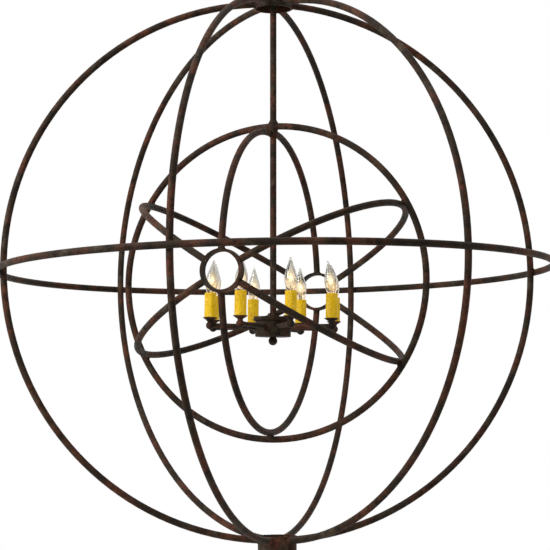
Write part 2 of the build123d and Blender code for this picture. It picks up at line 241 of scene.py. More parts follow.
class LampSettings(bpy.types.PropertyGroup):
    """Flame-shaped lamps and their light."""

    across: length("Glass", "Widest part of a glass", 0.0302)
    wall: length("Glass wall", "Thickness of the glass", 0.0009)
    tip_wall: length("Tip wall", "Solid glass in the tip", 0.006)
    lean: length("Lean", "How far a glass leans over its candle, towards the stem", 0.0085)
    clear: colour("Clear glass", "Tint of the upper glass", 219, 217, 210)
    # Painted warm light: the lower glass is tinted as though lit by the filament.
    painted_warm_light: colour("Warm glass", "Tint of the lower glass, near the light", 248, 236, 216)
    # Painted shade at the glass's edges; in the mount glass the same grey colours the seeds.
    seed_grey_and_edge_shade: colour("Glass edge", "Tint of glass seen edge on", 124, 117, 106)
    core: colour("Core", "Light at the heart of a lamp", 255, 246, 224)
    glow: colour("Glow", "Light round the heart", 253, 225, 175)
    ember: colour("Ember", "Coolest turns of the filament", 255, 206, 130)
    filament: colour("Filament", "Light of the filament", 255, 236, 196)
    filament_power: number("Filament power", "Emission of the filament", 9.0)
    wire: colour("Wire", "Wires that hold the filament", 190, 186, 178)
    wire_dull: colour("Dull wire", "Tarnish on the wires", 120, 112, 100)
    heart: number("Heart", "Height of the filament, as a share of the glass", 0.47)
    glow_layers: count("Glow layers", "Shells of light round the filament", 8)
    glow_alpha: number("Glow alpha", "How solid each shell of light is", 0.13)
    glow_power: number("Glow power", "Emission of the outer shells", 1.2)
    core_power: number("Core power", "Emission of the inner shells", 2.8)


class StageSettings(bpy.types.PropertyGroup):
    """Camera, floor and lights."""

    lens: number("Lens", "Focal length on a 36 mm sensor, in millimetres", 113.61)
    distance: length("Camera distance", "From the stem, on the level", 4.2703)
    height: length("Camera height", "From the hanging eye", -1.0973)
    turn: angle("Camera turn", "Round the stem, from the front pole ring", 18.5)
    aim: angle("Camera aim", "Turned away from the stem", -0.059)
    tilt: angle("Camera tilt", "Upwards", 4.4785)
    roll: angle("Camera roll", "About the line of sight", 0.0)
    floor_drop: length("Floor drop", "Floor below the chandelier", 0.75)
    floor_radius: length("Floor radius", "Radius of the floor", 4.6)
    floor: colour("Floor", "Pale floor", 240, 239, 237)
    floor_white: number("Floor white", "How white the floor is under the chandelier, beside its light", 0.38)
    floor_edge: number("Floor edge", "How white the floor is at its edge", 0.92)
    ambient: number("Ambient", "Light from all round", 0.115)
    key_power: number("Key light", "Front left softbox, in watts", 100.0)
    fill_power: number("Fill light", "Front right softbox, in watts", 10.0)
    top_power: number("Top light", "Overhead softbox, in watts", 26.0)


class ChandelierSettings(bpy.types.PropertyGroup):
    """All settings of the chandelier."""

    iron: PointerProperty(type=IronSettings)
    weld: PointerProperty(type=WeldSettings)
    candle: PointerProperty(type=CandleSettings)
    lamp: PointerProperty(type=LampSettings)
    stage: PointerProperty(type=StageSettings)


# Places that come from the frame

def middle(name):
    """Centre of a node's box."""
    low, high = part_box(name)
    return (low + high) / 2


def points_of(name):
    """All points of a node."""
    return [vert.co for vert in frame["nodes"][name].data.vertices]


def light_place(index):
    """Place of a light: origin where its lamp's glass starts, Z up the candle."""
    points = points_of("lamp_base_%d" % index)
    top = max(point.dot(LIGHT_AXIS) for point in points)
    rim = [point for point in points if point.dot(LIGHT_AXIS) > top - RIM_BAND]
    return Matrix.Translation(sum(rim, Vector()) / len(rim)) @ along(LIGHT_AXIS, Vector((1, 0, 0)))


def reach(name, index, radius):
    """Lowest and highest point of a node round a light's axis, from where its glass starts."""
    to_light = light_place(index).inverted()
    near = [to_light @ point for point in points_of(name)]
    heights = [point.z for point in near if math.hypot(point.x, point.y) < radius]
    return min(heights), max(heights)


def set_on_light(bm, settings, low, high, index):
    """Put what is in a lamp on its light, leaning towards the stem and drawn out at the tip."""
    place = light_place(index)
    inward = -place.translation.xy.to_3d().normalized()
    for vert in bm.verts:
        share = (vert.co.z - low) / (high - low)
        drawn = TIP_DRAWS[index - 1] * max(2 * share - 1, 0) ** 2
        vert.co += inward * (settings.lean * share * (1 - LEAN_EASE * share) + drawn)
    move(bm, place)


def half_width(name):
    """Half of a node's widest level side."""
    low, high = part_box(name)
    return max(high.x - low.x, high.y - low.y) / 2


def heading(name, centre, axis):
    """Direction in which a half rib bulges, square to its orb's axis."""
    points = points_of(name)
    out = sum(points, Vector()) / len(points) - centre
    return (out - out.dot(axis) * axis).normalized()


# Mesh helpers

def add_object(name, data):
    """A new object in the scene."""
    made = bpy.data.objects.new(name, data)
    bpy.context.scene.collection.objects.link(made)
    return made


def mesh_object(name, bm, materials):
    """Object of a finished mesh."""
    mesh = bpy.data.meshes.new(name)
    bm.to_mesh(mesh)
    bm.free()
    for material in materials:
        mesh.materials.append(material)
    return add_object(name, mesh)


def finish_piece(name, bm, body, materials, replaces=()):
    """Make a smooth object of a finished mesh and let it ride on its body."""
    for face in bm.faces:
        face.smooth = True
    piece = mesh_object(name, bm, materials)
    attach(piece, body)
    if replaces:
        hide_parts(*replaces)
    return piece


def move(bm, matrix):
    """Move all of a mesh."""
    bmesh.ops.transform(bm, matrix=matrix, verts=bm.verts[:])


def chain(bm, outline, close=False):
    """Edges through an outline of radius and height, on the XZ plane."""
    verts = [bm.verts.new((radius, 0, height)) for radius, height in outline]
    pairs = list(zip(verts, verts[1:]))
    if close:
        pairs.append((verts[-1], verts[0]))
    return [bm.edges.new(pair) for pair in pairs]


def spin_closed(bm, steps):
    """Spin all of a mesh about the Z axis into one skin."""
    bmesh.ops.spin(
        bm, geom=bm.verts[:] + bm.edges[:], cent=(0, 0, 0), axis=(0, 0, 1),
        angle=FULL_TURN, steps=steps, use_merge=True,
    )
    bmesh.ops.remove_doubles(bm, verts=bm.verts[:], dist=SAME_POINT)
    bmesh.ops.recalc_face_normals(bm, faces=bm.faces[:])


def spun(outline, steps, close=False, cuts=()):
    """Mesh of an outline spun about the Z axis; cuts are (edge number, divisions)."""
    bm = bmesh.new()
    edges = chain(bm, outline, close)
    for number_of_edge, divisions in cuts:
        bmesh.ops.subdivide_edges(bm, edges=[edges[number_of_edge]], cuts=divisions)
    spin_closed(bm, steps)
    return bm


def take_in(target, source, place=Matrix.Identity(4), material=0):
    """Move a mesh into another one, at its place and with its material."""
    move(source, place)
    for face in source.faces:
        face.material_index = material
    scratch = bpy.data.meshes.new("scratch")
    source.to_mesh(scratch)
    source.free()
    target.from_mesh(scratch)
    bpy.data.meshes.remove(scratch)


def along(direction, sideways):
    """Turn that brings Z along a direction and X as near as it can to sideways."""
    z_axis = direction.normalized()
    y_axis = z_axis.cross(sideways).normalized()
    x_axis = y_axis.cross(z_axis)
    return Matrix((x_axis, y_axis, z_axis)).transposed().to_4x4()


# Shader helpers

def plug(socket, value):
    """Give an input its value: a link from another socket, or a plain one."""
    if isinstance(value, bpy.types.NodeSocket):
        socket.id_data.links.new(value, socket)
    else:
        socket.default_value = value


def feed(made, **values):
    """Give inputs of a shader node their values, spaces in their names as underscores."""
    for name, value in values.items():
        plug(made.inputs[name.replace("_", " ")], value)


def add_node(tree, kind, **values):
    """A shader node with values for its inputs."""
    made = tree.nodes.new(kind)
    feed(made, **values)
    return made


def operation(tree, kind, first, second):
    """One sum on two sockets or numbers."""
    made = tree.nodes.new("ShaderNodeMath")
    made.operation = kind
    for socket, value in zip(made.inputs, (first, second)):
        plug(socket, value)
    return made.outputs[0]


def blend_colours(tree, share, first, second):
    """Mix of two colours, each a socket or a plain colour."""
    made = tree.nodes.new("ShaderNodeMix")
    made.data_type = "RGBA"
    plug(made.inputs["Factor"], share)
    for socket, value in zip((made.inputs[6], made.inputs[7]), (first, second)):
        plug(socket, value if isinstance(value, bpy.types.NodeSocket) else (*value, 1))
    return made.outputs[2]


def spread(tree, value, low, high, to_low=0.0, to_high=1.0):
    """A value's range stretched to another one."""
    made = add_node(
        tree, "ShaderNodeMapRange", Value=value, From_Min=low, From_Max=high, To_Min=to_low, To_Max=to_high
    )
    return made.outputs["Result"]


def height_of(tree, vector):
    """Height of a place."""
    return add_node(tree, "ShaderNodeSeparateXYZ", Vector=vector).outputs["Z"]


def seen_rays(tree):
    """1 for rays that show the background: straight, mirrored or through glass."""
    path = tree.nodes.new("ShaderNodeLightPath")
    seen = operation(tree, "MAXIMUM", path.outputs["Is Camera Ray"], path.outputs["Is Transmission Ray"])
    return operation(tree, "MAXIMUM", seen, path.outputs["Is Glossy Ray"])


def shader_group(name, inputs, outputs):
    """Empty node group of a vector and numbers; gives the group and its end nodes."""
    group = bpy.data.node_groups.new(name, "ShaderNodeTree")
    group.interface.new_socket("Vector", in_out="INPUT", socket_type="NodeSocketVector")
    for socket in inputs:
        group.interface.new_socket(socket, in_out="INPUT", socket_type="NodeSocketFloat")
    for socket in outputs:
        group.interface.new_socket(socket, in_out="OUTPUT", socket_type="NodeSocketFloat")
    return group, group.nodes.new("NodeGroupInput"), group.nodes.new("NodeGroupOutput")


def patches_group():
    """Patchy mask: where a coat is rubbed, rusted, streaked or flecked."""
    found = bpy.data.node_groups.get("Patches")
    if found:
        return found
    group, given, result = shader_group("Patches", ("Scale", "Detail", "Low", "High"), ("Mask",))
    pattern = {name: given.outputs[name] for name in ("Vector", "Scale", "Detail")}
    texture = add_node(group, "ShaderNodeTexNoise", Roughness=0.62, **pattern)
    stretch = add_node(
        group, "ShaderNodeMapRange", Value=texture.outputs["Fac"],
        From_Min=given.outputs["Low"], From_Max=given.outputs["High"],
    )
    stretch.interpolation_type = "SMOOTHSTEP"
    feed(result, Mask=stretch.outputs["Result"])
    return group


def grit_group():
    """Gritty skin: a height for bump and a mask for roughness."""
    found = bpy.data.node_groups.get("Grit")
    if found:
        return found
    group, given, result = shader_group("Grit", ("Scale",), ("Height", "Mask"))
    times_finer, fine_share = 4.0, 0.25
    place, scale = given.outputs["Vector"], given.outputs["Scale"]
    fine_scale = operation(group, "MULTIPLY", scale, times_finer)
    coarse = add_node(group, "ShaderNodeTexNoise", Vector=place, Scale=scale, Detail=5.0, Roughness=0.6)
    fine = add_node(group, "ShaderNodeTexNoise", Vector=place, Scale=fine_scale, Detail=2.0)
    fine_height = operation(group, "MULTIPLY", fine.outputs["Fac"], fine_share)
    height = operation(group, "ADD", coarse.outputs["Fac"], fine_height)
    feed(result, Height=height, Mask=coarse.outputs["Fac"])
    return group


def place_group(tree, group, vector, **values):
    """A node group in a material, fed with a vector and its values."""
    made = tree.nodes.new("ShaderNodeGroup")
    made.node_tree = group
    feed(made, Vector=vector, **values)
    return made


def patches(tree, vector, scale, low, high, detail=4.0):
    """Socket of a patchy mask."""
    made = place_group(tree, patches_group(), vector, Scale=scale, Detail=detail, Low=low, High=high)
    return made.outputs["Mask"]


def shifted(tree, vector, offset, scale=(1, 1, 1)):
    """Coordinates moved and stretched, so that patterns don't repeat each other."""
    made = add_node(tree, "ShaderNodeMapping", Vector=vector, Location=offset, Scale=scale)
    return made.outputs["Vector"]


def rough_skin(tree, shader, vector, scale, depth, low, high):
    """Bump and uneven roughness from the grit group."""
    grit = place_group(tree, grit_group(), vector, Scale=scale)
    bump = add_node(tree, "ShaderNodeBump", Height=grit.outputs["Height"], Strength=1.0, Distance=depth)
    roughness = spread(tree, grit.outputs["Mask"], 0.3, 0.7, low, high)
    feed(shader, Normal=bump.outputs["Normal"], Roughness=roughness)


def new_material(name):
    """A material with its node tree, its shader and its object coordinates."""
    material = bpy.data.materials.new(name)
    material.use_nodes = True
    tree = material.node_tree
    shader = tree.nodes["Principled BSDF"]
    coordinates = tree.nodes.new("ShaderNodeTexCoord").outputs["Object"]
    return material, tree, shader, coordinates


# Materials

def iron_material(settings):
    """Brown-black coat with rust patches, rubbed grey patches and fine flecks."""
    name = "Rusted iron"
    found = bpy.data.materials.get(name)
    if found:
        return found
    material, tree, shader, place = new_material(name)
    fleck_place = shifted(tree, place, (3.1, 1.7, 5.3))
    grey_place = shifted(tree, place, (7.7, 2.9, 1.1))
    soot_place = shifted(tree, place, (1.3, 9.1, 4.7))
    scale = settings.patch_scale
    broad = patches(tree, place, scale, low=0.43, high=0.62, detail=7.0)
    small = patches(tree, fleck_place, settings.fleck_scale, low=0.40, high=0.62)
    rubbed = patches(tree, grey_place, 1.7 * scale, low=0.50, high=0.68, detail=8.0)
    sooty = patches(tree, soot_place, 3.1 * scale, low=0.50, high=0.66, detail=5.0)
    rust_share = operation(tree, "MULTIPLY", broad, spread(tree, small, 0.0, 1.0, to_low=0.35, to_high=1.0))
    grey_share = operation(tree, "MULTIPLY", rubbed, spread(tree, small, 0.0, 1.0, to_low=0.75, to_high=0.2))
    soot_share = operation(tree, "MULTIPLY", sooty, settings.soot_share)
    shade = blend_colours(tree, rust_share, settings.dark, settings.rust)
    shade = blend_colours(tree, grey_share, shade, settings.grey)
    shade = blend_colours(tree, soot_share, shade, settings.black)
    feed(shader, Base_Color=shade, Specular_IOR_Level=settings.shine)
    rough_skin(
        tree, shader, place, settings.grain_scale, settings.grain_depth,
        low=settings.roughness - 0.1, high=settings.roughness + 0.15,
    )
    return material


def resin_material(settings, sleeve_low, sleeve_high):
    """Amber resin with paler and deeper streaks, brown flecks and a painted glow all up the sleeve, a little
    stronger at the rim.
    """
    material, tree, shader, place = new_material("Amber resin")
    streaky = shifted(tree, place, (0.0, 0.0, 0.0), scale=(1.0, 1.0, 0.35))
    pale_place = shifted(tree, streaky, (4.1, 2.2, 0.7))
    fleck_place = shifted(tree, place, (1.9, 6.3, 3.3))
    deep = patches(tree, streaky, scale=95.0, low=0.44, high=0.64, detail=5.0)
    pale = patches(tree, pale_place, scale=130.0, low=0.50, high=0.68)
    flecks = patches(tree, fleck_place, scale=240.0, low=0.60, high=0.67, detail=1.0)
    shade = blend_colours(tree, deep, settings.amber, settings.honey)
    shade = blend_colours(tree, pale, shade, settings.straw)
    shade = blend_colours(tree, flecks, shade, settings.fleck)
    feed(shader, Base_Color=shade, Specular_IOR_Level=settings.shine)
    # Painted glow: the resin emits its amber colour, a little more towards the rim, so that it looks lit.
    lit = spread(
        tree, height_of(tree, place), sleeve_low, sleeve_high, settings.painted_glow_foot, settings.painted_glow_rim
    )
    light = blend_colours(tree, lit, (0.0, 0.0, 0.0), settings.amber)
    feed(shader, Emission_Color=light, Emission_Strength=1.0)
    rough_skin(tree, shader, place, scale=260.0, depth=settings.grain_depth, low=0.36, high=0.58)
    return material


def glass_material(settings, low, high):
    """Clear lamp glass, with painted warm light in its lower half and painted grey shade where it is seen
    edge on.
    """
    material, tree, shader, place = new_material("Lamp glass")
    tall = high - low
    # Painted warm light in the lower glass, fading to clear glass above.
    upper = spread(tree, height_of(tree, place), low + PAINTED_GLOW_TO * tall, low + CLEAR_FROM * tall)
    tint = blend_colours(tree, upper, settings.painted_warm_light, settings.clear)
    # Painted shade: the glass turns grey where it is seen edge on.
    edge = add_node(tree, "ShaderNodeLayerWeight", Blend=0.35)
    edge_shade_share = spread(tree, edge.outputs["Facing"], 0.35, 1.0, to_low=0.0, to_high=0.8)
    tint = blend_colours(tree, edge_shade_share, tint, settings.seed_grey_and_edge_shade)
    ripple = add_node(tree, "ShaderNodeTexNoise", Vector=place, Scale=38.0, Detail=0.0)
    bump = add_node(tree, "ShaderNodeBump", Height=ripple.outputs["Fac"], Strength=0.1, Distance=0.001)
    feed(shader, Base_Color=tint, Normal=bump.outputs["Normal"])
    feed(shader, Roughness=0.02, IOR=1.45, Transmission_Weight=1.0)
    return material


def glow_material(name, light, dim, strength, alpha):
    """Light round the filament: see-through shells, a little uneven."""
    material, tree, shader, place = new_material(name)
    uneven = patches(tree, place, scale=70.0, low=0.3, high=0.7, detail=1.0)
    feed(shader, Emission_Color=blend_colours(tree, uneven, light, dim), Emission_Strength=strength)
    feed(shader, Base_Color=(0, 0, 0, 1), Specular_IOR_Level=0.0, Roughness=1.0, Alpha=alpha)
    return material


def filament_material(settings):
    """Glowing coil, hotter in some turns than in others."""
    material, tree, shader, place = new_material("Filament")
    hot = patches(tree, place, scale=300.0, low=0.35, high=0.6)
    light = blend_colours(tree, hot, settings.ember, settings.filament)
    feed(shader, Emission_Color=light, Emission_Strength=settings.filament_power)
    feed(shader, Base_Color=(*settings.ember, 1))
    return material


def metal_material(name, bright, dull, roughness):
    """Bare metal with tarnish patches and fine scratches."""
    material, tree, shader, place = new_material(name)
    tarnish = patches(tree, place, scale=140.0, low=0.45, high=0.65, detail=5.0)
    feed(shader, Base_Color=blend_colours(tree, tarnish, bright, dull), Metallic=1.0)
    rough_skin(tree, shader, place, scale=500.0, depth=0.0002, low=roughness - 0.08, high=roughness + 0.12)
    return material


def moulded_material(name, light, dark, roughness):
    """Moulded plastic or rubber with a faint mottle and grain."""
    material, tree, shader, place = new_material(name)
    mottle = patches(tree, place, scale=120.0, low=0.4, high=0.65, detail=5.0)
    feed(shader, Base_Color=blend_colours(tree, mottle, light, dark))
    rough_skin(tree, shader, place, scale=700.0, depth=0.0002, low=roughness - 0.1, high=roughness + 0.1)
    return material


def mount_glass_material(settings):
    """Slightly seeded glass of the stem that holds the filament."""
    material, tree, shader, place = new_material("Mount glass")
    seeds = patches(tree, place, scale=400.0, low=0.6, high=0.7)
    shade = blend_colours(tree, seeds, settings.clear, settings.seed_grey_and_edge_shade)
    feed(shader, Base_Color=shade, Roughness=0.05, Transmission_Weight=1.0)
    return material


# Finishes of the fittings by slot: maker, name, colour, darker patches, roughness
FITTINGS = {
    "plated_steel": (metal_material, "Plated steel", (196, 196, 192), (128, 126, 120), 0.34),
    "lamp_brass": (metal_material, "Lamp brass", (214, 176, 98), (150, 108, 52), 0.28),
    "socket_phenolic": (moulded_material, "Phenolic", (52, 48, 45), (33, 30, 29), 0.5),
    "lead_insulation": (moulded_material, "Lead insulation", (74, 70, 64), (50, 47, 44), 0.6),
}


# Weld meshes

def weld_ring(target, centre, axis, wall_axis, wall_radius, settings, seed):
    """Rippled bead round a tube's end, bent to the round wall that it is welded to."""
    ripple_share, lump_share, lump_scale = 0.16, 1.6, 160
    seed_shift = Vector((3.7 * seed, 0, 0))
    tube_r = settings.tube / 2
    bm = bmesh.new()
    bmesh.ops.create_circle(bm, segments=BEAD_SIDES, radius=settings.bead / 2)
    stand = Matrix.Translation((tube_r, 0, 0)) @ Matrix.Rotation(math.pi / 2, 4, "X")
    move(bm, stand)
    spin_closed(bm, RING_STEPS)
    for vert in bm.verts:
        around = math.atan2(vert.co.y, vert.co.x)
        heart = Vector((math.cos(around), math.sin(around), 0)) * tube_r
        ripple = ripple_share * math.sin(settings.ripples * around + seed)
        lump = lump_share * settings.lumps * noise.noise(heart * lump_scale + seed_shift)
        vert.co = heart + (vert.co - heart) * (1 + ripple + lump)
        vert.co.z -= wall_radius - math.sqrt(max(wall_radius**2 - vert.co.y**2, 0))
    take_in(target, bm, Matrix.Translation(centre) @ along(axis, wall_axis))


def weld_pad(target, centre, normal, sideways, settings, seed):
    """Lumpy weld in the crotch of two crossing tubes."""
    coarse_scale, fine_scale, fine_share = 2.6, 7.0, 0.4
    coarse_shift, fine_shift = Vector((5.1 * seed, 1.7, 0)), Vector((0, 2.3 * seed, 4.4))
    bm = bmesh.new()
    bmesh.ops.create_icosphere(bm, subdivisions=PAD_DIVISIONS, radius=1.0)
    for vert in bm.verts:
        lump = noise.noise(vert.co * coarse_scale + coarse_shift)
        fine = noise.noise(vert.co * fine_scale + fine_shift)
        vert.co *= 1 + settings.lumps * (lump + fine_share * fine)
    size = Vector((settings.pad, settings.pad, settings.pad_thick)) / 2
    bmesh.ops.scale(bm, vec=size, verts=bm.verts[:])
    take_in(target, bm, Matrix.Translation(centre) @ along(normal, sideways))


def weld_nugget(target, top, stem_r, settings):
    """Lumpy weld all round the stem, where the upright hoop and the top rib meet on the collar."""
    coarse_scale, fine_scale, fine_share = 190, 480, 0.5
    tube = settings.tube
    bore = stem_r + settings.stem_room
    outline = [(bore + out * tube, height * tube) for out, height in NUGGET_OUTLINE]
    bm = spun(outline, NUGGET_STEPS, close=True)
    for vert in bm.verts:
        out = vert.co.xy.to_3d()
        spare = out.length - bore
        lump = noise.noise(vert.co * coarse_scale) + fine_share * noise.noise(vert.co * fine_scale)
        vert.co += out.normalized() * settings.lumps * spare * lump
    take_in(target, bm, Matrix.Translation(top))


class CHANDELIER_OT_iron_finish(bpy.types.Operator):
    """Give every node its finish: rusted iron outside, brass, steel, plastic and rubber inside"""

    bl_idname = "chandelier.iron_finish"
    bl_label = "Metal and fittings"

    def execute(self, context):
        finishes = {"rust_iron": iron_material(context.scene.chandelier.iron)}
        for slot, (make, name, shade, dark, roughness) in FITTINGS.items():
            finishes[slot] = make(name, linear(*shade), linear(*dark), roughness)
        for part in frame["record"]["subparts"]:
            finish = finishes.get(part["material_slot"])
            if finish:
                mesh = frame["nodes"][part["node"]].data
                mesh.materials.clear()
                mesh.materials.append(finish)
        return {"FINISHED"}


class CHANDELIER_OT_outer_welds(bpy.types.Operator):
    """Weld beads of the outer orb: ribs to both hubs, and ribs to the level hoop"""

    bl_idname = "chandelier.outer_welds"
    bl_label = "Outer orb welds"

    def execute(self, context):
        settings = context.scene.chandelier
        weld = settings.weld
        top, foot = middle("top_hub_ring"), middle("bottom_hub_ring")
        up = (top - foot).normalized()
        centre = (top + foot) / 2
        rib_r = half_width("outer_equator") - 1.5 * weld.tube - weld.weld_gap
        hub_r = half_width("top_hub_ring")
        end_height = math.sqrt(rib_r**2 - hub_r**2)
        hoop = points_of("outer_equator")
        bm = bmesh.new()
        for index, rib in enumerate(OUTER_RIBS):
            outward = heading(rib, centre, up)
            for side in (-1, 1):
                end = centre + outward * hub_r + side * end_height * up
                weld_ring(bm, end, outward, up, hub_r, weld, 2 * index + side)
            near = [point.z for point in hoop if (point - centre).dot(outward) > rib_r]
            crossing = centre + outward * (rib_r + (weld.tube + weld.weld_gap) / 2)
            crossing.z = sum(near) / len(near)
            weld_pad(bm, crossing, outward, up, weld, index)
        finish_piece("outer_orb_welds", bm, "frame", [iron_material(settings.iron)])
        return {"FINISHED"}


class CHANDELIER_OT_inner_welds(bpy.types.Operator):
    """Weld beads of the inner orb: ribs to the pole rings, to the upright hoop and to the collar"""

    bl_idname = "chandelier.inner_welds"
    bl_label = "Inner orb welds"

    def execute(self, context):
        settings = context.scene.chandelier
        weld = settings.weld
        front, rear = middle("pole_ring_front"), middle("pole_ring_rear")
        centre = (front + rear) / 2
        level = (rear - front).normalized()
        hoop_r = half_width("inner_equator") - weld.tube / 2
        rib_r = hoop_r - weld.tube - weld.weld_gap
        ring_r = half_width("pole_ring_front")
        bm = bmesh.new()
        ends = [("inner_rib_top_front", [front]), ("inner_rib_top_rear", [rear])]
        ends += [(rib, [front, rear]) for rib in INNER_RIBS]
        for index, (rib, rings) in enumerate(ends):
            outward = heading(rib, centre, level)
            for side, ring in enumerate(rings):
                weld_ring(bm, ring + outward * ring_r, outward, level, ring_r, weld, 2 * index + side)
            if rib in INNER_RIBS:
                crossing = centre + outward * (rib_r + (weld.tube + weld.weld_gap) / 2)
                weld_pad(bm, crossing, outward, level, weld, INNER_PAD_SEED + index)
        up = Vector((0, 0, 1))
        top = centre + hoop_r * up
        weld_nugget(bm, top, half_width("stem"), weld)
        collar_r = half_width("inner_collar")
        for side in (-1, 1):
            across = side * up.cross(level)
            weld_ring(bm, top + across * collar_r, across, up, collar_r, weld, COLLAR_SEED + side)
        finish_piece("inner_orb_welds", bm, "inner_orb", [iron_material(settings.iron)])
        return {"FINISHED"}


class CHANDELIER_OT_candle_sleeves(bpy.types.Operator):
    """Cast resin sleeves with drips in relief and uneven rims"""

    bl_idname = "chandelier.candle_sleeves"
    bl_label = "Candle sleeves"

    def execute(self, context):
        settings = context.scene.chandelier.candle
        low, high = reach("candle_sleeves", 1, settings.sleeve_across)
        bm = bmesh.new()
        for index in range(1, LAMPS + 1):
            take_in(bm, self.sleeve(settings, low, high, index), light_place(index))
        material = resin_material(settings, *(corner.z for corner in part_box("candle_sleeves")))
        finish_piece("candle_sleeves_cast", bm, "cluster", [material], ["candle_sleeves"])
        return {"FINISHED"}

    def sleeve(self, settings, low, high, seed):
        """One sleeve on the axis."""
        outer = settings.sleeve_across / 2
        bore = settings.sleeve_bore / 2
        rounding = settings.sleeve_round
        outline = [
            (outer, low),
            (outer, high - rounding),
            (outer - 0.3 * rounding, high - 0.3 * rounding),
            (outer - rounding, high),
            (bore + 0.6 * rounding, high),
            (bore, high - rounding),
            (bore, low),
        ]
        run_share, lump_share, sunk, rim_share, rim_from = 0.9, 0.55, 0.25, 0.7, 0.8
        run_shift, lump_shift = Vector((9.3 * seed, 0, 0)), Vector((0, 4.1 * seed, 0))
        bm = spun(outline, SLEEVE_STEPS, close=True, cuts=[(0, SLEEVE_CUTS)])
        for vert in bm.verts:
            radius = math.hypot(vert.co.x, vert.co.y)
            if radius < bore + rounding:
                continue
            out = Vector((vert.co.x, vert.co.y, 0)) / radius
            run = self.cast(out, vert.co.z, around=2.1, up=14, shift=run_shift)
            lump = self.cast(out, vert.co.z, around=5.0, up=150, shift=lump_shift)
            vert.co += out * settings.relief * (run_share * run + lump_share * lump - sunk)
            share = (vert.co.z - low) / (high - low)
            on_rim = max(share - rim_from, 0) / (1 - rim_from)
            vert.co.z += settings.relief * rim_share * run * on_rim
        return bm

    def cast(self, out, height, around, up, shift):
        """Unevenness of the casting, stretched around and up."""
        return noise.noise(Vector((out.x * around, out.y * around, height * up)) + shift)


class CHANDELIER_OT_drip_dishes(bpy.types.Operator):
    """Thin dishes with crimped, uneven rims under the sleeves"""

    bl_idname = "chandelier.drip_dishes"
    bl_label = "Drip dishes"

    def execute(self, context):
        settings = context.scene.chandelier
        low, high = reach("drip_dishes", 1, settings.candle.dish_across)
        bm = bmesh.new()
        for index in range(1, LAMPS + 1):
            take_in(bm, self.dish(settings.candle, low, high, index), light_place(index))
        iron = iron_material(settings.iron)
        finish_piece("drip_dishes_crimped", bm, "cluster", [iron], ["drip_dishes"])
        return {"FINISHED"}

    def dish(self, settings, low, high, seed):
        """One dish on the axis."""
        rim_r = settings.dish_across / 2
        hole_r = settings.dish_hole / 2
        plate = settings.dish_plate
        turn_up = DISH_TURN_UP * settings.dish_across
        outline = [
            (hole_r, low),
            (rim_r - turn_up, low),
            (rim_r - 0.35 * turn_up, low + 0.25 * plate),
            (rim_r, high - 0.4 * plate),
            (rim_r - 0.12 * turn_up, high),
            (rim_r - 0.5 * turn_up, low + 1.25 * plate),
            (rim_r - 1.1 * turn_up, low + plate),
            (hole_r, low + plate),
        ]
        uneven_scale, seed_shift = 2.3, Vector((6.1 * seed, 0, 0))
        bm = spun(outline, DISH_STEPS, close=True)
        for vert in bm.verts:
            radius = math.hypot(vert.co.x, vert.co.y)
            on_rim = max((radius - rim_r + turn_up) / turn_up, 0)
            around = math.atan2(vert.co.y, vert.co.x)
            out = Vector((math.cos(around), math.sin(around), 0))
            uneven = noise.noise(out * uneven_scale + seed_shift)
            crimp = math.sin(settings.crimps * around + 2 * uneven)
            depth = settings.crimp_depth * on_rim
            vert.co += out * depth * (0.5 * crimp + 0.6 * uneven)
            vert.co.z += depth * (0.35 * crimp + 0.5 * uneven)
        return bm


class CHANDELIER_OT_lamp_glass(bpy.types.Operator):
    """Hollow flame-shaped glasses with leaning, drawn-out tips"""

    bl_idname = "chandelier.lamp_glass"
    bl_label = "Lamp glasses"

    def execute(self, context):
        settings = context.scene.chandelier.lamp
        low, high = reach("lamp_glass_1", 1, settings.across)
        material = glass_material(settings, *(corner.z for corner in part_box("lamp_glass_1")))
        widest, wall = settings.across / 2, settings.wall
        for index in range(1, LAMPS + 1):
            bm = bmesh.new()
            take_in(bm, self.flame(widest, low, high))
            hollow = self.flame(widest - wall, low + wall, high - settings.tip_wall)
            bmesh.ops.reverse_faces(hollow, faces=hollow.faces[:])
            take_in(bm, hollow)
            set_on_light(bm, settings, low, high, index)
            body, glass = "lamp_%d" % index, "lamp_glass_%d" % index
            piece = finish_piece("flame_glass_%d" % index, bm, body, [material], [glass])
            smooth = piece.modifiers.new("Smooth", "SUBSURF")
            smooth.levels = FLAME_SMOOTHING
            smooth.render_levels = FLAME_SMOOTHING
        return {"FINISHED"}

    def flame(self, widest, low, high):
        """Closed flame outline spun on the axis: neck, shoulder, belly and drawn-out tip."""
        tall = high - low
        return spun([(radius * widest, low + height * tall) for radius, height in FLAME_OUTLINE], FLAME_STEPS)


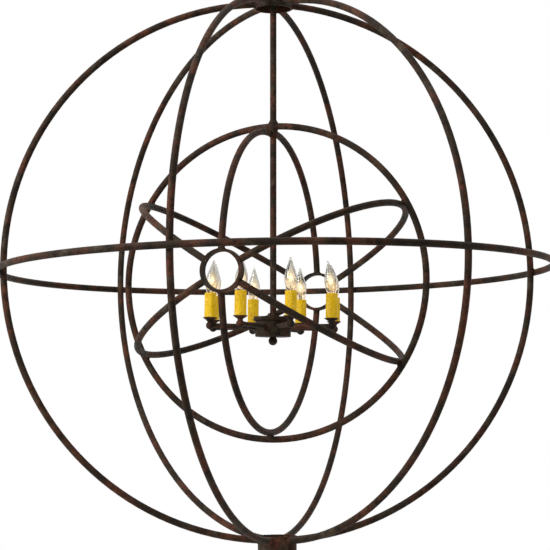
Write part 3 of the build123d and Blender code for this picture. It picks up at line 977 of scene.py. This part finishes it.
class CHANDELIER_OT_lamp_mounts(bpy.types.Operator):
    """Glass stem, lead wires and coiled filament inside each lamp"""

    bl_idname = "chandelier.lamp_mounts"
    bl_label = "Lamp mounts"

    def execute(self, context):
        settings = context.scene.chandelier.lamp
        low, high = reach("lamp_glass_1", 1, settings.across)
        tall = high - low
        heart = low + settings.heart * tall
        materials = [
            mount_glass_material(settings),
            metal_material("Lead wire", settings.wire, settings.wire_dull, roughness=0.3),
            filament_material(settings),
        ]
        for index in range(1, LAMPS + 1):
            bm = bmesh.new()
            take_in(bm, self.stem(low, tall))
            for side in (-1, 1):
                start = Vector((side * WIRE_FOOT, 0, low + PINCH * tall))
                end = Vector((side * WIRE_HEAD, 0, heart))
                take_in(bm, self.wire(start, end), material=1)
            take_in(bm, self.coil(heart), material=2)
            move(bm, Matrix.Rotation(MOUNT_TURN * index, 4, "Z"))
            set_on_light(bm, settings, low, high, index)
            finish_piece("lamp_mount_%d" % index, bm, "lamp_%d" % index, materials)
        return {"FINISHED"}

    def stem(self, low, tall):
        """Flared glass stem, pinched at its top."""
        return spun([(radius, low + height * tall) for radius, height in MOUNT_OUTLINE], MOUNT_STEPS)

    def wire(self, start, end):
        """Straight piece of wire."""
        bm = bmesh.new()
        run = end - start
        place = Matrix.Translation((start + end) / 2) @ along(run, Vector((0, 1, 0)))
        bmesh.ops.create_cone(
            bm, cap_ends=True, segments=WIRE_SIDES, radius1=WIRE_R, radius2=WIRE_R, depth=run.length,
            matrix=place,
        )
        return bm

    def coil(self, height):
        """Coiled filament between the wires, made by a screwing spin."""
        bm = bmesh.new()
        bmesh.ops.create_circle(bm, segments=COIL_SIDES, radius=FILAMENT_R)
        stand = Matrix.Translation((-WIRE_HEAD, COIL_R, height)) @ Matrix.Rotation(math.pi / 2, 4, "X")
        move(bm, stand @ Matrix.Rotation(math.pi / 2, 4, "Y"))
        bmesh.ops.spin(
            bm, geom=bm.verts[:] + bm.edges[:], cent=(0, 0, height), axis=(1, 0, 0),
            dvec=(2 * WIRE_HEAD / COIL_STEPS, 0, 0), angle=COIL_TURNS * FULL_TURN, steps=COIL_STEPS,
        )
        bmesh.ops.recalc_face_normals(bm, faces=bm.faces[:])
        return bm


class CHANDELIER_OT_lamp_glow(bpy.types.Operator):
    """Soft light round each filament, as nested shells"""

    bl_idname = "chandelier.lamp_glow"
    bl_label = "Lamp glow"

    def execute(self, context):
        settings = context.scene.chandelier.lamp
        low, high = reach("lamp_glass_1", 1, settings.across)
        tall = high - low
        heart = low + settings.heart * tall
        glow, core, alpha = settings.glow, settings.core, settings.glow_alpha
        materials = [
            glow_material("Lamp glow", glow, core, settings.glow_power, alpha),
            glow_material("Lamp core", core, glow, settings.core_power, 2 * alpha),
        ]
        widest = settings.across / 2 - 2 * settings.wall
        for index in range(1, LAMPS + 1):
            bm = bmesh.new()
            for layer in range(settings.glow_layers):
                share = GLOW_FILL * (1 - layer / settings.glow_layers)
                shell = self.shell(widest * share, GLOW_REACH * tall * share, heart)
                take_in(bm, shell, material=int(share < CORE_FROM))
            set_on_light(bm, settings, low, high, index)
            finish_piece("lamp_glow_%d" % index, bm, "lamp_%d" % index, materials)
        return {"FINISHED"}

    def shell(self, radius, half_height, heart):
        """Drop-shaped shell of light, drawn out upwards."""
        bm = bmesh.new()
        bmesh.ops.create_uvsphere(bm, u_segments=SHELL_SEGMENTS, v_segments=SHELL_RINGS, radius=1.0)
        for vert in bm.verts:
            if vert.co.z > 0:
                vert.co.x *= 1 - GLOW_TAPER * vert.co.z
                vert.co.y *= 1 - GLOW_TAPER * vert.co.z
        bmesh.ops.scale(bm, vec=(radius, radius, half_height), verts=bm.verts[:])
        bmesh.ops.translate(bm, vec=(0, 0, heart), verts=bm.verts[:])
        return bm


class CHANDELIER_OT_stage(bpy.types.Operator):
    """White studio: pale floor, soft lights and the camera of the photograph"""

    bl_idname = "chandelier.stage"
    bl_label = "Studio"

    def execute(self, context):
        stage = context.scene.chandelier.stage
        context.scene.view_settings.view_transform = "Standard"
        self.floor(stage)
        self.world(stage)
        self.lights(stage)
        self.camera(stage)
        return {"FINISHED"}

    def floor(self, stage):
        """Round pale floor under the chandelier, whiter towards its edge and clear from below."""
        material, tree, shader, place = new_material("Pale floor")
        mottle = patches(tree, place, scale=3.0, low=0.3, high=0.7, detail=6.0)
        shade = blend_colours(tree, mottle, stage.floor, [0.97 * value for value in stage.floor])
        feed(shader, Base_Color=shade, Roughness=0.8, Specular_IOR_Level=0.2)
        height = CAD_BOX[0].z - stage.floor_drop
        away = add_node(tree, "ShaderNodeVectorMath", Vector=place)
        away.operation = "LENGTH"
        edge = math.hypot(height, stage.floor_radius)
        white = spread(tree, away.outputs["Value"], abs(height), edge, stage.floor_white, stage.floor_edge)
        seen_white = operation(tree, "MULTIPLY", seen_rays(tree), white)
        under = tree.nodes.new("ShaderNodeNewGeometry").outputs["Backfacing"]
        feed(shader, Emission_Color=(1, 1, 1, 1), Emission_Strength=seen_white)
        feed(shader, Alpha=operation(tree, "SUBTRACT", 1.0, under))
        bm = bmesh.new()
        bmesh.ops.create_circle(bm, cap_ends=True, segments=FLOOR_SEGMENTS, radius=stage.floor_radius)
        bmesh.ops.translate(bm, vec=(0, 0, height), verts=bm.verts[:])
        mesh_object("floor", bm, [material])

    def world(self, stage):
        """White all round for what is seen, a plain level for what is lit."""
        world = bpy.data.worlds.new("White studio")
        bpy.context.scene.world = world
        world.use_nodes = True
        tree = world.node_tree
        strength = spread(tree, seen_rays(tree), 0, 1, stage.ambient, 1)
        feed(tree.nodes["Background"], Color=(1, 1, 1, 1), Strength=strength)

    def lights(self, stage):
        """Three softboxes that face the chandelier's middle."""
        target = (CAD_BOX[0] + CAD_BOX[1]) / 2
        powers = (stage.key_power, stage.fill_power, stage.top_power)
        for power, (name, side, turn, rise, away) in zip(powers, SOFTBOXES):
            lamp = bpy.data.lights.new(name, "AREA")
            lamp.energy = power
            lamp.size = side
            light = add_object(name, lamp)
            around, above = math.radians(turn), math.radians(rise)
            level = Vector((math.sin(around), -math.cos(around), 0))
            back = level * math.cos(above) + Vector((0, 0, math.sin(above)))
            light.location = target + back * away
            light.rotation_euler = back.to_track_quat("Z", "Y").to_euler()

    def camera(self, stage):
        """Camera where the photograph was taken from."""
        data = bpy.data.cameras.new("photo_camera")
        data.sensor_width = SENSOR_WIDTH
        data.lens = stage.lens
        data.clip_end = FAR_CLIP
        camera = add_object("photo_camera", data)
        place = Vector((math.sin(stage.turn), -math.cos(stage.turn), 0)) * stage.distance
        place.z = stage.height
        turn = Matrix.Rotation(stage.turn + stage.aim, 4, "Z")
        tilt = Matrix.Rotation(math.pi / 2 + stage.tilt, 4, "X")
        roll = Matrix.Rotation(stage.roll, 4, "Z")
        camera.matrix_world = Matrix.Translation(place) @ turn @ tilt @ roll
        bpy.context.scene.camera = camera


OPERATORS = (
    CHANDELIER_OT_iron_finish,
    CHANDELIER_OT_outer_welds,
    CHANDELIER_OT_inner_welds,
    CHANDELIER_OT_candle_sleeves,
    CHANDELIER_OT_drip_dishes,
    CHANDELIER_OT_lamp_glass,
    CHANDELIER_OT_lamp_mounts,
    CHANDELIER_OT_lamp_glow,
    CHANDELIER_OT_stage,
)


class CHANDELIER_PT_sidebar(bpy.types.Panel):
    """Lists the chandelier's operators and settings"""

    bl_idname = "CHANDELIER_PT_sidebar"
    bl_label = "Orb chandelier"
    bl_space_type = "VIEW_3D"
    bl_region_type = "UI"
    bl_category = "Chandelier"

    def draw(self, context):
        for operator in OPERATORS:
            self.layout.operator(operator.bl_idname)
        settings = context.scene.chandelier
        for group_name in settings.__annotations__:
            group = getattr(settings, group_name)
            box = self.layout.box()
            for name in group.__annotations__:
                box.prop(group, name)


CLASSES = (
    IronSettings,
    WeldSettings,
    CandleSettings,
    LampSettings,
    StageSettings,
    ChandelierSettings,
    *OPERATORS,
    CHANDELIER_PT_sidebar,
)


def register():
    for cls in CLASSES:
        bpy.utils.register_class(cls)
    bpy.types.Scene.chandelier = PointerProperty(type=ChandelierSettings)


def unregister():
    del bpy.types.Scene.chandelier
    for cls in reversed(CLASSES):
        bpy.utils.unregister_class(cls)


def main():
    register()
    bpy.ops.chandelier.iron_finish()
    bpy.ops.chandelier.outer_welds()
    bpy.ops.chandelier.inner_welds()
    bpy.ops.chandelier.candle_sleeves()
    bpy.ops.chandelier.drip_dishes()
    bpy.ops.chandelier.lamp_glass()
    bpy.ops.chandelier.lamp_mounts()
    bpy.ops.chandelier.lamp_glow()
    bpy.ops.chandelier.stage()


if __name__ == "__main__":
    main()
